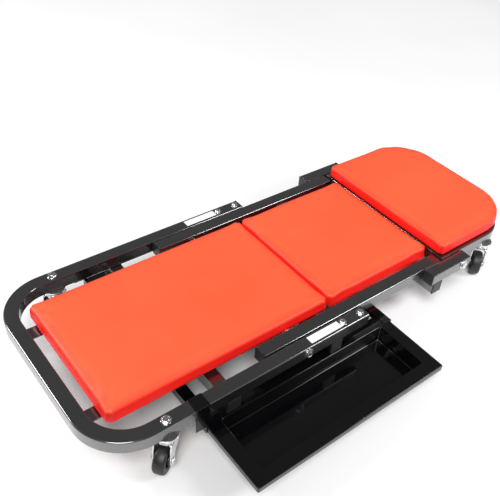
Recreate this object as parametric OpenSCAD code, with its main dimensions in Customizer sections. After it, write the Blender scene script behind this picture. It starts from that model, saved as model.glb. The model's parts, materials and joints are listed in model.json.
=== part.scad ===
// Mechanics creeper that lies flat or folds into a low seat, with a sliding tool tray.
// Millimetres. +X is the head end, +Y is the left side of a person lying on it, +Z is up.
// Built flat, with the tray pulled out on the -Y side.

/* [Frame] */
// Side of the square frame tube
tube = 25; // [20:0.5:30]
// Wall of the square frame tube
wall = 1.5; // [1:0.1:3]
// Height of the underside of the base rails above the floor
rail_low = 75; // [65:1:90]
// Half width over the base rails
base_half = 199.2; // [180:0.1:220]
// Foot end of the base frame, outer face
foot_end = -44; // [-70:1:-20]
// Outer radius of the two bends of the base frame
bend_r = 90; // [60:1:120]
// Head end of the base rails
rail_end = 473; // [440:1:500]

/* [Folding] */
// Position of the hinge between base and middle section along the length
fold_a = 333; // [300:1:360]
// Position of the hinge between middle and head section along the length
fold_b = 735; // [700:1:760]
// Outer half width of the middle rails
mid_half = 172.5; // [160:0.1:180]
// Foot end of the middle rails
mid_foot = 260; // [240:1:290]
// Head end of the middle rails
mid_head = 692; // [680:1:694]
// Diameter of the hinge bolts
hinge_d = 8; // [6:0.5:12]

/* [Pads] */
// Length of the foot pad
pad_a_len = 432; // [400:1:460]
// Width of the foot pad
pad_a_wide = 273; // [250:1:290]
// Length of the middle pad
pad_b_len = 260; // [230:0.5:280]
// Width of the middle pad
pad_b_wide = 271; // [250:1:280]
// Length of the head pad
pad_c_len = 233; // [210:1:250]
// Width of the head pad
pad_c_wide = 330; // [300:1:350]
// Thickness of each pad
pad_thick = 25.5; // [20:0.5:40]

/* [Tray] */
// Length of the tray along the creeper
tray_len = 404.5; // [380:0.5:420]
// Depth of the tray across the creeper
tray_deep = 155; // [140:1:160]
// Width of the flat flange round the tray
tray_flange = 26; // [18:1:32]
// Height of the top of the tray flange above the floor
tray_top = 48; // [44:0.5:49]
// Depth of the tray bowl
tray_bowl = 34; // [25:1:38]

/* [Casters] */
// Diameter of the caster wheels
wheel_d = 50; // [44:1:52]
// Width of the caster tyres
wheel_w = 20; // [16:1:20]
// Distance from the swivel axis back to the wheel axle
trail = 13; // [11:1:14]
// Way that the wheels trail from their swivels, counted from the head end
swing = 216; // [0:1:359]

/* [Hidden] */
eps = 0.01;
fine = 48;
rail_top = rail_low + tube;
base_in = base_half - tube;
lift = 0.4;
mid_low = rail_low + lift;
mid_top = mid_low + tube;
hinge_z = mid_low + tube / 2;
mid_in = mid_half - tube;
rung_b = 653;
box_foot = 644;
box_end = 754;
box_half = mid_half + tube;
head_end = 914;
head_half = mid_half - 1;
head_foot = fold_b - 38;
head_bend = 72;
pad_low = rail_low + 9;
pad_c_low = rail_low + 28.4;
pad_b_foot = 435.5;
pad_c_foot = 701;
pad_end = pad_c_foot + pad_c_len;
tray_foot = 131.5;
tray_head = tray_foot + tray_len;
tray_back = -175;
tray_front = tray_back - tray_deep;
sheet = 1.5;
lip_low = tray_top - 11;
runner_top = tray_top + 2;
end_bolts = [419, 461];
cross_a = 171;
cross_b = 388;
beam_x = tray_head + 2;
beam_low = rail_low - 30;
beam_half = 144;
pivot_x = 68;
pivot_y = 186.7;
rear_x = 596;
rear_y = 100;
king_x = 847;
king_y = 160;
plate_low = rail_low - 5;
axle_z = wheel_d / 2;
strap_x = 111.3;
mid_x = (foot_end + pad_end) / 2;
mid_y = (tray_front + pivot_y + 20) / 2;

// Everything is drawn from the foot edge of the foot pad, then moved to the shared origin.
module placed() {
  translate([-mid_x, -mid_y, 0])
    children();
}

module both_sides() {
  children();
  mirror([0, 1, 0])
    children();
}

module block(a, b) {
  translate(a)
    cube([b[0] - a[0], b[1] - a[1], b[2] - a[2]]);
}

module tube_along_x(x0, x1, y0, z0) {
  difference() {
    block([x0, y0, z0], [x1, y0 + tube, z0 + tube]);
    block([x0 - 1, y0 + wall, z0 + wall], [x1 + 1, y0 + tube - wall, z0 + tube - wall]);
  }
}

module tube_along_y(y0, y1, x0, z0) {
  difference() {
    block([x0, y0, z0], [x0 + tube, y1, z0 + tube]);
    block([x0 + wall, y0 - 1, z0 + wall], [x0 + tube - wall, y1 + 1, z0 + tube - wall]);
  }
}

module cross_bore(x, z, y0, y1, d) {
  translate([x, y0, z])
    rotate([-90, 0, 0])
      cylinder(d = d, h = y1 - y0, $fn = fine);
}

// A quarter bend of square tube, solid to radius r, used inside and outside.
module bend(r_out, r_in, z0, z1) {
  rotate_extrude(angle = 90, $fn = 96)
    translate([r_in, z0])
      square([r_out - r_in, z1 - z0]);
}

// Base frame: two legs and a cross bar joined by two bends, inset for the hollow.
module base_u(inset, far) {
  c = foot_end + bend_r;
  z0 = rail_low + inset;
  z1 = rail_top - inset;
  both_sides() {
    block([c, base_in + inset, z0], [far, base_half - inset, z1]);
    translate([c, base_half - bend_r, 0])
      rotate([0, 0, 90])
        bend(bend_r - inset, bend_r - tube + inset, z0, z1);
    block([foot_end + inset, -eps, z0], [foot_end + tube - inset, base_half - bend_r, z1]);
  }
}

// Head frame: the same shape the other way round, open towards the foot end.
module head_u(inset, near) {
  c = head_end - head_bend;
  z0 = mid_low + inset;
  z1 = mid_top - inset;
  wide = head_half - mid_in;
  both_sides() {
    block([near, mid_in + inset, z0], [c, head_half - inset, z1]);
    translate([c, head_half - head_bend, 0])
      bend(head_bend - inset, head_bend - wide + inset, z0, z1);
    block([head_end - wide + inset, -eps, z0], [head_end - inset, head_half - head_bend, z1]);
  }
}

module round_slab(x0, x1, half, r, z0, z1) {
  translate([0, 0, z0])
    linear_extrude(z1 - z0) {
      block_2d([x0 + r, -half], [x1 - r, half]);
      block_2d([x0, -half + r], [x1, half - r]);
      for (x = [x0 + r, x1 - r])
        for (y = [-half + r, half - r])
          translate([x, y])
            circle(r, $fn = fine);
    }
}

module block_2d(a, b) {
  translate(a)
    square([b[0] - a[0], b[1] - a[1]]);
}

// Head pad outline: nearly square at the foot side, large radii at the head side.
module head_outline(off) {
  r = 90 - off;
  half = pad_c_wide / 2 - off;
  x0 = pad_c_foot + off;
  x1 = pad_end - off;
  small = 6;
  block_2d([x0, -half + small], [x1 - r, half - small]);
  block_2d([x0 + small, -half], [x1 - r, half]);
  block_2d([x1 - r - eps, -half + r], [x1, half - r]);
  for (y = [-half + small, half - small])
    translate([x0 + small, y])
      circle(small, $fn = fine);
  for (y = [-half + r, half - r])
    translate([x1 - r, y])
      circle(r, $fn = 96);
}

module end_cap_foot(x, y0, z0, t) {
  block([x, y0, z0], [x + 2, y0 + t, z0 + tube]);
  block([x + 2 - eps, y0 + wall + 0.1, z0 + wall + 0.1],
        [x + 7, y0 + t - wall - 0.1, z0 + tube - wall - 0.1]);
}

module end_cap_head(x, y0, z0, t) {
  block([x - 2, y0, z0], [x, y0 + t, z0 + tube]);
  block([x - 7, y0 + wall + 0.1, z0 + wall + 0.1],
        [x - 2 + eps, y0 + t - wall - 0.1, z0 + tube - wall - 0.1]);
}

module end_cap_side(x, y, z0) {
  block([x, y - 2, z0], [x + tube, y, z0 + tube]);
  block([x + wall + 0.1, y - 7, z0 + wall + 0.1],
        [x + tube - wall - 0.1, y - 2 + eps, z0 + tube - wall - 0.1]);
}

module hex_head(d, h) {
  cylinder(d = d, h = h, $fn = 6);
}

// ---------------------------------------------------------------- base

module base_frame() color("#16171a") placed()
  difference() {
    base_u(0, rail_end - 2);
    base_u(wall, rail_end + 5);
    both_sides() {
      cross_bore(fold_a, hinge_z, base_in - 1, base_half + 1, hinge_d);
      translate([pivot_x, pivot_y, rail_low - 1])
        cylinder(d = 8, h = tube + 2, $fn = fine);
      for (x = end_bolts)
        translate([x, pivot_y, rail_low - 1])
          cylinder(d = 6, h = tube + 2, $fn = fine);
    }
  }

module base_cross_tubes() color("#16171a") placed() {
  tube_along_y(-base_half + 2, base_half - 2, cross_a, rail_low - tube);
  tube_along_y(-base_half + 2, base_half - 2, cross_b, rail_low - tube);
}

module pad_bars() color("#16171a") placed()
  both_sides()
    block([foot_end + tube, 88, rail_low], [pad_a_len - 4, 113, rail_low + 3]);

module beam_arms() color("#16171a") placed()
  both_sides()
    block([cross_b + tube, 52, plate_low], [beam_x + tube, 76, rail_low]);

module rear_beam() color("#16171a") placed()
  tube_along_y(-beam_half + 2, beam_half - 2, beam_x, beam_low);

module rest_blocks() color("#101010") placed()
  both_sides()
    block([beam_x + 3, 15, plate_low], [beam_x + tube - 3, 45, mid_low - 0.2]);

module runner(x_web, x_in, x_lip) {
  reach = base_half + 2;
  block([min(x_web, x_web + sheet), -reach, lip_low - 2], [max(x_web, x_web + sheet), reach, runner_top]);
  block([min(x_web, x_in), -reach, tray_top + 0.6], [max(x_web, x_in), reach, runner_top]);
  block([min(x_web, x_lip), -reach, lip_low - 2], [max(x_web, x_lip), reach, lip_low - 0.5]);
}

module tray_runners() color("#141518") placed() {
  runner(tray_foot - 0.5 - sheet, tray_foot + 18, tray_foot + 13);
  mirror([1, 0, 0])
    translate([-tray_head - tray_foot, 0, 0])
      runner(tray_foot - 0.5 - sheet, tray_foot + 16, tray_foot + 13);
}

module runner_tabs() color("#16171a") placed()
  for (y = [-pivot_y, 0, pivot_y])
    block([tray_foot - 2, y - 12.5, runner_top], [cross_a, y + 12.5, runner_top + 2]);

module runner_straps() color("#101114") placed() {
  both_sides()
    block([strap_x, base_half, runner_top], [strap_x + 24.7, base_half + 2, rail_top - 4]);
  block([strap_x, -base_half - 2, rail_top - 5], [strap_x + 24.7, -base_half, rail_top + 2]);
  block([strap_x, -base_half - eps, rail_top], [strap_x + 24.7, -base_in + 0.5, rail_top + 2]);
}

module rail_labels() color("#f2f2f0") placed()
  both_sides()
    block([343, 179, rail_top], [411, 194, rail_top + 0.3]);

module base_end_caps() color("#101010") placed()
  both_sides() {
    end_cap_head(rail_end, base_in, rail_low, tube);
    end_cap_side(cross_a, base_half, rail_low - tube);
    end_cap_side(cross_b, base_half, rail_low - tube);
    end_cap_side(beam_x, beam_half, beam_low);
  }

module base_top_bolts() color("#d5d8dc") placed()
  both_sides()
    translate([pivot_x, pivot_y, 0]) {
      translate([0, 0, plate_low + 5])
        cylinder(d = 8, h = tube + eps, $fn = fine);
      translate([0, 0, rail_top])
        hex_head(14, 5.5);
    }

module rail_end_bolts() color("#d5d8dc") placed()
  both_sides()
    for (x = end_bolts)
      translate([x, pivot_y, 0]) {
        translate([0, 0, rail_low - 8])
          cylinder(d = 6, h = tube + 8 + eps, $fn = fine);
        translate([0, 0, rail_top])
          hex_head(12, 4.5);
        translate([0, 0, rail_low - 5])
          hex_head(11.5, 5);
      }

module hinge_bolts_base() color("#d5d8dc") placed()
  both_sides() {
    cross_bore(fold_a, hinge_z, mid_in - 9, base_half + eps, hinge_d);
    translate([fold_a, base_half, hinge_z])
      rotate([-90, 0, 0])
        hex_head(15, 5);
  }

module hinge_nuts_base() color("#d5d8dc") placed()
  both_sides()
    difference() {
      translate([fold_a, mid_in - 7, hinge_z])
        rotate([-90, 0, 0])
          hex_head(14, 6.5);
      cross_bore(fold_a, hinge_z, mid_in - 10, mid_in + 1, hinge_d);
    }

module king(x, y, top) {
  translate([x, y, 0]) {
    translate([0, 0, plate_low])
      cylinder(d = 40, h = top - plate_low, $fn = 96);
    translate([0, 0, plate_low - 9])
      cylinder(d = 12, h = 9 + eps, $fn = fine);
  }
}

module caster_mounts_base() color("#d5d8dc") placed()
  both_sides() {
    king(pivot_x, pivot_y, rail_low);
    king(rear_x, rear_y, plate_low + 4.5);
    block([beam_x, rear_y - 19, plate_low], [rear_x, rear_y + 19, plate_low + 4.5]);
  }

module foot_board() color("#191614") placed()
  round_slab(14, pad_a_len - 14, pad_a_wide / 2 - 14, 8, rail_low + 3, pad_low);

module foot_pad() color("#f0321e") placed()
  round_slab(0, pad_a_len, pad_a_wide / 2, 5, pad_low, pad_low + pad_thick);

// ---------------------------------------------------------------- middle section

module mid_rails() color("#16171a") placed()
  both_sides()
    difference() {
      tube_along_x(mid_foot + 2, mid_head, mid_in, mid_low);
      cross_bore(fold_a, hinge_z, mid_in - 1, mid_half + 1, hinge_d + 0.1);
    }

module mid_boxes() color("#16171a") placed()
  both_sides()
    difference() {
      tube_along_x(box_foot + 2, box_end - 2, mid_half, mid_low);
      cross_bore(fold_b, hinge_z, mid_half - 1, box_half + 1, hinge_d);
    }

module mid_cross_tubes() color("#16171a") placed() {
  tube_along_y(-box_half + 2, box_half - 2, rung_b, mid_low - tube);
}

module mid_end_caps() color("#101010") placed()
  both_sides() {
    end_cap_foot(mid_foot, mid_in, mid_low, tube);
    end_cap_foot(box_foot, mid_half, mid_low, tube);
    end_cap_head(box_end, mid_half, mid_low, tube);
    end_cap_side(rung_b, box_half, mid_low - tube);
  }

module hinge_bolts_head() color("#d5d8dc") placed()
  both_sides() {
    cross_bore(fold_b, hinge_z, mid_in - 9, box_half + eps, hinge_d);
    translate([fold_b, box_half, hinge_z])
      rotate([-90, 0, 0])
        hex_head(15, 5);
  }

module hinge_nuts_head() color("#d5d8dc") placed()
  both_sides()
    difference() {
      translate([fold_b, mid_in - 7, hinge_z])
        rotate([-90, 0, 0])
          hex_head(14, 6.5);
      cross_bore(fold_b, hinge_z, mid_in - 10, mid_in + 1, hinge_d);
    }

module mid_board() color("#191614") placed()
  round_slab(pad_b_foot + 14, pad_b_foot + pad_b_len - 19, pad_b_wide / 2 - 13, 8, mid_low, pad_low);

module mid_pad() color("#f0321e") placed()
  round_slab(pad_b_foot, pad_b_foot + pad_b_len, pad_b_wide / 2, 5, pad_low, pad_low + pad_thick);

// ---------------------------------------------------------------- head section

module head_frame() color("#16171a") placed()
  difference() {
    head_u(0, head_foot + 2);
    head_u(wall, head_foot - 5);
    both_sides()
      cross_bore(fold_b, hinge_z, mid_in - 1, mid_half + 1, hinge_d + 0.1);
  }

module head_cross_tube() color("#16171a") placed()
  tube_along_y(-mid_in, mid_in, fold_b - 36, mid_low);

module head_end_caps() color("#101010") placed()
  both_sides()
    end_cap_foot(head_foot, mid_in, mid_low, head_half - mid_in);

module caster_mounts_head() color("#d5d8dc") placed()
  both_sides()
    king(king_x, king_y, mid_low);

module head_board() color("#191614") placed()
  translate([0, 0, mid_top])
    linear_extrude(pad_c_low - mid_top)
      head_outline(13);

module head_pad() color("#f0321e") placed()
  translate([0, 0, pad_c_low])
    linear_extrude(pad_thick - 0.4)
      head_outline(0);

// ---------------------------------------------------------------- tray

module tray() color("#141518") placed() {
  x0 = tray_foot;
  x1 = tray_head;
  y0 = tray_front;
  y1 = tray_back;
  f = tray_flange;
  low = tray_top - tray_bowl;
  difference() {
    block([x0, y0, lip_low], [x1, y1, tray_top]);
    block([x0 + sheet, y0 + sheet, lip_low - 1], [x1 - sheet, y1 - sheet, tray_top - sheet]);
    block([x0 + f, y0 + f, lip_low - 1], [x1 - f, y1 - f, tray_top + 1]);
  }
  difference() {
    block([x0 + f - sheet, y0 + f - sheet, low], [x1 - f + sheet, y1 - f + sheet, tray_top - eps]);
    block([x0 + f, y0 + f, low + sheet], [x1 - f, y1 - f, tray_top + 1]);
  }
}

// ---------------------------------------------------------------- casters

// Each caster is placed by its swivel axis, and its wheel trails along swing.
module at_caster(x, y) {
  translate([x, y, 0])
    rotate([0, 0, swing])
      children();
}

module at_wheel(x, y) {
  at_caster(x, y)
    translate([trail, 0, axle_z])
      rotate([90, 0, 0])
        children();
}

module fork(x, y) color("#c9ccd1") placed()
  at_caster(x, y) {
    difference() {
      translate([0, 0, plate_low - 9])
        cylinder(d = 34, h = 8.8, $fn = 96);
      translate([0, 0, plate_low - 10])
        cylinder(d = 12.1, h = 11, $fn = fine);
    }
    difference() {
      block([-15, -15, plate_low - 12], [15, 15, plate_low - 9 + eps]);
      translate([0, 0, plate_low - 13])
        cylinder(d = 12.1, h = 7, $fn = fine);
    }
    for (s = [-1, 1])
      translate([0, s * 13.75 + 1.25, 0])
        rotate([90, 0, 0])
          difference() {
            linear_extrude(2.5)
              polygon([[-15, 61], [15, 61], [trail + 8, 40], [trail + 8, 21], [trail + 4, 17],
                       [trail - 4, 17], [trail - 8, 21], [trail - 10, 34], [-15, 52]]);
            translate([trail, axle_z, -1])
              cylinder(d = 8, h = 5, $fn = fine);
          }
  }

module axle(x, y) color("#d5d8dc") placed()
  at_wheel(x, y) {
    translate([0, 0, -15])
      cylinder(d = 8, h = 30, $fn = fine);
    translate([0, 0, -18.5])
      hex_head(12, 3.5);
    translate([0, 0, 15])
      hex_head(12, 3.5);
  }

module tyre(x, y) color("#121212") placed()
  at_wheel(x, y)
    rotate_extrude($fn = 96)
      polygon([[14, -wheel_w / 2 + 1], [20, -wheel_w / 2], [23, -wheel_w / 2 + 1.5],
               [wheel_d / 2, -wheel_w / 2 + 4.5], [wheel_d / 2, wheel_w / 2 - 4.5],
               [23, wheel_w / 2 - 1.5], [20, wheel_w / 2], [14, wheel_w / 2 - 1]]);

module hub(x, y) color("#1b1b1d") placed()
  at_wheel(x, y)
    rotate_extrude($fn = 96)
      polygon([[4.05, -11.5], [7.5, -11.5], [7.5, -7], [14, -7],
               [14, 7], [7.5, 7], [7.5, 11.5], [4.05, 11.5]]);

module fork_foot_left() fork(pivot_x, pivot_y);
module fork_foot_right() fork(pivot_x, -pivot_y);
module fork_rear_left() fork(rear_x, rear_y);
module fork_rear_right() fork(rear_x, -rear_y);
module fork_head_left() fork(king_x, king_y);
module fork_head_right() fork(king_x, -king_y);
module axle_foot_left() axle(pivot_x, pivot_y);
module axle_foot_right() axle(pivot_x, -pivot_y);
module axle_rear_left() axle(rear_x, rear_y);
module axle_rear_right() axle(rear_x, -rear_y);
module axle_head_left() axle(king_x, king_y);
module axle_head_right() axle(king_x, -king_y);
module tyre_foot_left() tyre(pivot_x, pivot_y);
module tyre_foot_right() tyre(pivot_x, -pivot_y);
module tyre_rear_left() tyre(rear_x, rear_y);
module tyre_rear_right() tyre(rear_x, -rear_y);
module tyre_head_left() tyre(king_x, king_y);
module tyre_head_right() tyre(king_x, -king_y);
module hub_foot_left() hub(pivot_x, pivot_y);
module hub_foot_right() hub(pivot_x, -pivot_y);
module hub_rear_left() hub(rear_x, rear_y);
module hub_rear_right() hub(rear_x, -rear_y);
module hub_head_left() hub(king_x, king_y);
module hub_head_right() hub(king_x, -king_y);

base_frame();
base_cross_tubes();
pad_bars();
beam_arms();
rear_beam();
rest_blocks();
tray_runners();
runner_tabs();
runner_straps();
rail_labels();
base_end_caps();
base_top_bolts();
rail_end_bolts();
hinge_bolts_base();
hinge_nuts_base();
caster_mounts_base();
foot_board();
foot_pad();
mid_rails();
mid_boxes();
mid_cross_tubes();
mid_end_caps();
hinge_bolts_head();
hinge_nuts_head();
mid_board();
mid_pad();
head_frame();
head_cross_tube();
head_end_caps();
caster_mounts_head();
head_board();
head_pad();
tray();
fork_foot_left();
fork_foot_right();
fork_rear_left();
fork_rear_right();
fork_head_left();
fork_head_right();
axle_foot_left();
axle_foot_right();
axle_rear_left();
axle_rear_right();
axle_head_left();
axle_head_right();
tyre_foot_left();
tyre_foot_right();
tyre_rear_left();
tyre_rear_right();
tyre_head_left();
tyre_head_right();
hub_foot_left();
hub_foot_right();
hub_rear_left();
hub_rear_right();
hub_head_left();
hub_head_right();
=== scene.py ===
import json
import math

import bmesh
import bpy
from mathutils import Matrix, Vector


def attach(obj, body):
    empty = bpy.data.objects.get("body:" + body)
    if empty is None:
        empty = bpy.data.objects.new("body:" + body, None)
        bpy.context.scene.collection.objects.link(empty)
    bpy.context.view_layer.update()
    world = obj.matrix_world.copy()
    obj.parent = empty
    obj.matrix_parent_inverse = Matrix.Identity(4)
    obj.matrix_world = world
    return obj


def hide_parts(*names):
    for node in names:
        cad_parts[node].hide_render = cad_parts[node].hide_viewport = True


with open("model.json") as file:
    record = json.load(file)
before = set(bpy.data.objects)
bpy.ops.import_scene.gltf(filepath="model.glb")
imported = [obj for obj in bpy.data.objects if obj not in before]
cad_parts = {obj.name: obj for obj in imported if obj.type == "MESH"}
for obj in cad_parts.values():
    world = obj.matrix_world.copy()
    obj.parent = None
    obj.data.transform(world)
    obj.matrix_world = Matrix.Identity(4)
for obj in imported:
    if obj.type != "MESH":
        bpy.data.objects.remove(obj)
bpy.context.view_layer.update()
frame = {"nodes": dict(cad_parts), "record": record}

# Shapes are drawn in millimetres, counted from the foot edge of the foot pad and from the floor.
MID_X, MID_Y = 445.0, (-330 + 206.7) / 2
TO_FRAME = Matrix.Scale(0.001, 4) @ Matrix.Translation((-MID_X, -MID_Y, 0))


def at(x, y, z):
    """A point in the shared frame, in metres."""
    return TO_FRAME @ Vector((x, y, z))


# ------------------------------------------------------------------ materials

def new_material(name):
    """A material with nothing in it but its shader."""
    mat = bpy.data.materials.new(name)
    mat.use_nodes = True
    nodes = mat.node_tree.nodes
    nodes.clear()
    out = nodes.new("ShaderNodeOutputMaterial")
    shader = nodes.new("ShaderNodeBsdfPrincipled")
    mat.node_tree.links.new(shader.outputs[0], out.inputs[0])
    return mat, shader


def add(mat, kind, **values):
    """A shader node, with values set on its inputs or, failing that, on the node itself."""
    node = mat.node_tree.nodes.new(kind)
    for key, value in values.items():
        if key in node.inputs:
            node.inputs[key].default_value = value
        else:
            setattr(node, key, value)
    return node


def join(mat, a, b):
    mat.node_tree.links.new(a, b)


def texture(mat, kind, scale, **values):
    """A texture in object coordinates, so its scale is per metre."""
    coords = add(mat, "ShaderNodeTexCoord")
    node = add(mat, kind, **values)
    node.inputs["Scale"].default_value = scale
    join(mat, coords.outputs["Object"], node.inputs["Vector"])
    return node


def ramp(mat, source, stops):
    """Colours at two positions along a source value, blended between them."""
    node = add(mat, "ShaderNodeValToRGB")
    for element, (pos, colour) in zip(node.color_ramp.elements, stops):
        element.position = pos
        element.color = (*colour, 1)
    join(mat, source, node.inputs[0])
    return node


def grey(v):
    return (v, v, v)


def tinted(colour, k):
    return tuple(min(1.0, c * k) for c in colour)


def bump(mat, shader, height, strength, distance, before=None):
    """Bumps on the shader's normal, added to an earlier bump node where there is one."""
    node = add(mat, "ShaderNodeBump")
    node.inputs["Strength"].default_value = strength
    node.inputs["Distance"].default_value = distance
    join(mat, height, node.inputs["Height"])
    if before is not None:
        join(mat, before.outputs[0], node.inputs["Normal"])
    join(mat, node.outputs[0], shader.inputs["Normal"])
    return node


def paint(name, colour, rough, coat, coat_ior, peel, shine):
    """Black powder coat: orange peel, fine specks and slightly uneven gloss under a clear skin."""
    mat, shader = new_material(name)
    cloud = texture(mat, "ShaderNodeTexNoise", 9, Detail=3)
    tone = ramp(mat, cloud.outputs[0], [(0.35, colour), (0.65, tinted(colour, 1.4))])
    join(mat, tone.outputs[0], shader.inputs["Base Color"])
    gloss = ramp(mat, cloud.outputs[0], [(0.3, grey(rough * 0.8)), (0.7, grey(rough * 1.25))])
    join(mat, gloss.outputs[0], shader.inputs["Roughness"])
    fine = texture(mat, "ShaderNodeTexNoise", 700, Detail=2)
    bump(mat, shader, fine.outputs[0], peel, 0.0002)
    shader.inputs["Coat Weight"].default_value = coat
    shader.inputs["Coat Roughness"].default_value = 0.06
    shader.inputs["Coat IOR"].default_value = coat_ior
    shader.inputs["Specular IOR Level"].default_value = shine
    return mat


def plated(name, colour, rough):
    """Zinc or chrome plate with dull patches and fine streaks."""
    mat, shader = new_material(name)
    patch = texture(mat, "ShaderNodeTexNoise", 140, Detail=4)
    tone = ramp(mat, patch.outputs[0], [(0.3, tinted(colour, 0.8)), (0.7, colour)])
    join(mat, tone.outputs[0], shader.inputs["Base Color"])
    dull = ramp(mat, patch.outputs[0], [(0.3, grey(rough * 1.7)), (0.65, grey(rough))])
    join(mat, dull.outputs[0], shader.inputs["Roughness"])
    streak = texture(mat, "ShaderNodeTexNoise", 900, Detail=1)
    bump(mat, shader, streak.outputs[0], 0.06, 0.0001)
    shader.inputs["Metallic"].default_value = 1.0
    return mat


def moulded(name, colour, rough, grain):
    """Moulded plastic with a fine grain."""
    mat, shader = new_material(name)
    cloud = texture(mat, "ShaderNodeTexNoise", 60, Detail=4)
    tone = ramp(mat, cloud.outputs[0], [(0.3, colour), (0.75, tinted(colour, 1.6))])
    join(mat, tone.outputs[0], shader.inputs["Base Color"])
    gloss = ramp(mat, cloud.outputs[0], [(0.3, grey(rough * 0.85)), (0.7, grey(rough * 1.1))])
    join(mat, gloss.outputs[0], shader.inputs["Roughness"])
    fine = texture(mat, "ShaderNodeTexNoise", 1400, Detail=2)
    bump(mat, shader, fine.outputs[0], grain, 0.0002)
    return mat


def vinyl(name, low, high, side_red):
    """Smooth coated vinyl: pebbled grain, soft pulls and a satin skin.

    Its colour goes from the vinyl's own deeper red at the height low to a top red lightened by a painted
    sheen at the height high.
    """
    mat, shader = new_material(name)
    cloud = texture(mat, "ShaderNodeTexNoise", 6, Detail=3)
    # Painted sheen: the top red is lighter and oranger than the vinyl's own red, standing in for the sheen on
    # the lit top.
    top = ramp(mat, cloud.outputs[0], [(0.3, (0.94, 0.112, 0.042)), (0.7, (0.97, 0.128, 0.050))])
    side = ramp(mat, cloud.outputs[0],
                [(0.3, (side_red, 0.012, 0.008)), (0.7, (side_red + 0.04, 0.018, 0.011))])
    coords = add(mat, "ShaderNodeTexCoord")
    split = add(mat, "ShaderNodeSeparateXYZ")
    join(mat, coords.outputs["Object"], split.inputs[0])
    # Height in the pad sets how much painted sheen the colour gets: none on the sides, full on the top.
    sheen_by_height = add(mat, "ShaderNodeMapRange")
    sheen_by_height.inputs["From Min"].default_value = low
    sheen_by_height.inputs["From Max"].default_value = high
    join(mat, split.outputs["Z"], sheen_by_height.inputs["Value"])
    mix = add(mat, "ShaderNodeMix", data_type="RGBA")
    join(mat, sheen_by_height.outputs[0], mix.inputs["Factor"])
    join(mat, side.outputs[0], mix.inputs["A"])
    join(mat, top.outputs[0], mix.inputs["B"])
    join(mat, mix.outputs["Result"], shader.inputs["Base Color"])
    gloss = ramp(mat, cloud.outputs[0], [(0.3, grey(0.40)), (0.7, grey(0.48))])
    join(mat, gloss.outputs[0], shader.inputs["Roughness"])
    grain = texture(mat, "ShaderNodeTexVoronoi", 1100)
    first = bump(mat, shader, grain.outputs["Distance"], 0.08, 0.0003)
    pull = texture(mat, "ShaderNodeTexNoise", 22, Detail=2, Distortion=0.4)
    bump(mat, shader, pull.outputs[0], 0.08, 0.003, before=first)
    shader.inputs["Specular IOR Level"].default_value = 0.32
    return mat


def plywood(name):
    """Black stained plywood with its grain just showing."""
    mat, shader = new_material(name)
    grain = texture(mat, "ShaderNodeTexWave", 55, Distortion=3.0, Detail=3.0)
    tone = ramp(mat, grain.outputs[0], [(0.2, (0.012, 0.010, 0.009)), (0.8, (0.03, 0.025, 0.02))])
    join(mat, tone.outputs[0], shader.inputs["Base Color"])
    shader.inputs["Roughness"].default_value = 0.75
    bump(mat, shader, grain.outputs[0], 0.2, 0.0004)
    return mat


def rubber(name):
    """Dull black rubber with uneven gloss."""
    mat, shader = new_material(name)
    cloud = texture(mat, "ShaderNodeTexNoise", 90, Detail=5)
    tone = ramp(mat, cloud.outputs[0], [(0.3, grey(0.008)), (0.7, grey(0.02))])
    join(mat, tone.outputs[0], shader.inputs["Base Color"])
    gloss = ramp(mat, cloud.outputs[0], [(0.3, grey(0.38)), (0.7, grey(0.52))])
    join(mat, gloss.outputs[0], shader.inputs["Roughness"])
    bump(mat, shader, cloud.outputs[0], 0.15, 0.0005)
    return mat


def label_film(name):
    """Blank off-white film under a thin clear skin."""
    mat, shader = new_material(name)
    cloud = texture(mat, "ShaderNodeTexNoise", 30, Detail=2)
    tone = ramp(mat, cloud.outputs[0], [(0.3, (0.84, 0.84, 0.83)), (0.7, (0.92, 0.92, 0.91))])
    join(mat, tone.outputs[0], shader.inputs["Base Color"])
    shader.inputs["Roughness"].default_value = 0.3
    shader.inputs["Coat Weight"].default_value = 0.3
    return mat


LOOK = {
    "frame": paint("frame_paint", (0.005, 0.0051, 0.0056), 0.3, 1.0, 2.3, 0.2, 0.6),
    "tray_steel": paint("tray_paint", (0.0015, 0.0015, 0.002), 0.24, 0.8, 1.5, 0.12, 0.1),
    "vinyl": vinyl("red_vinyl", 0.1005, 0.1090, 0.93),
    "board": plywood("black_plywood"),
    "cap": moulded("cap_plastic", (0.012, 0.012, 0.013), 0.35, 0.2),
    "bolt": plated("bolt_plate", (0.86, 0.87, 0.89), 0.14),
    "yoke": plated("yoke_plate", (0.82, 0.83, 0.85), 0.18),
    "tyre": rubber("tyre_rubber"),
    "hub": moulded("hub_nylon", (0.010, 0.010, 0.011), 0.3, 0.12),
    "label": label_film("label_film"),
    "rest": rubber("rest_rubber"),
}
# A second vinyl for the higher head pad: its painted sheen on top starts and ends at the head pad's heights.
HEAD_VINYL = vinyl("red_vinyl_head", 0.1185, 0.1280, 0.95)

# Nodes that no piece below replaces keep their CAD shape and get their material here.
slots = {part["node"]: part["material_slot"] for part in frame["record"]["subparts"]}
for node, obj in frame["nodes"].items():
    obj.data.materials.clear()
    obj.data.materials.append(LOOK[slots[node]])


# ------------------------------------------------------------------ shapes

SIDES = (-1, 1)
# Radius at which turned forms end, so that they close with a small face at their axis.
AXIS = 0.01


def merge(bm, part, matrix=None):
    """Adds a closed form to a piece, and frees it."""
    if matrix is not None:
        part.transform(matrix)
    mesh = bpy.data.meshes.new("part")
    part.to_mesh(mesh)
    part.free()
    bm.from_mesh(mesh)
    bpy.data.meshes.remove(mesh)


def bevel(part, r, seg, angle=35):
    """Rounds the edges that are sharper than an angle in degrees."""
    edges = [e for e in part.edges
             if len(e.link_faces) == 2 and e.calc_face_angle() > math.radians(angle)]
    bmesh.ops.bevel(part, geom=edges, offset=r, segments=seg, profile=0.5, affect="EDGES",
                    clamp_overlap=True)


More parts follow.
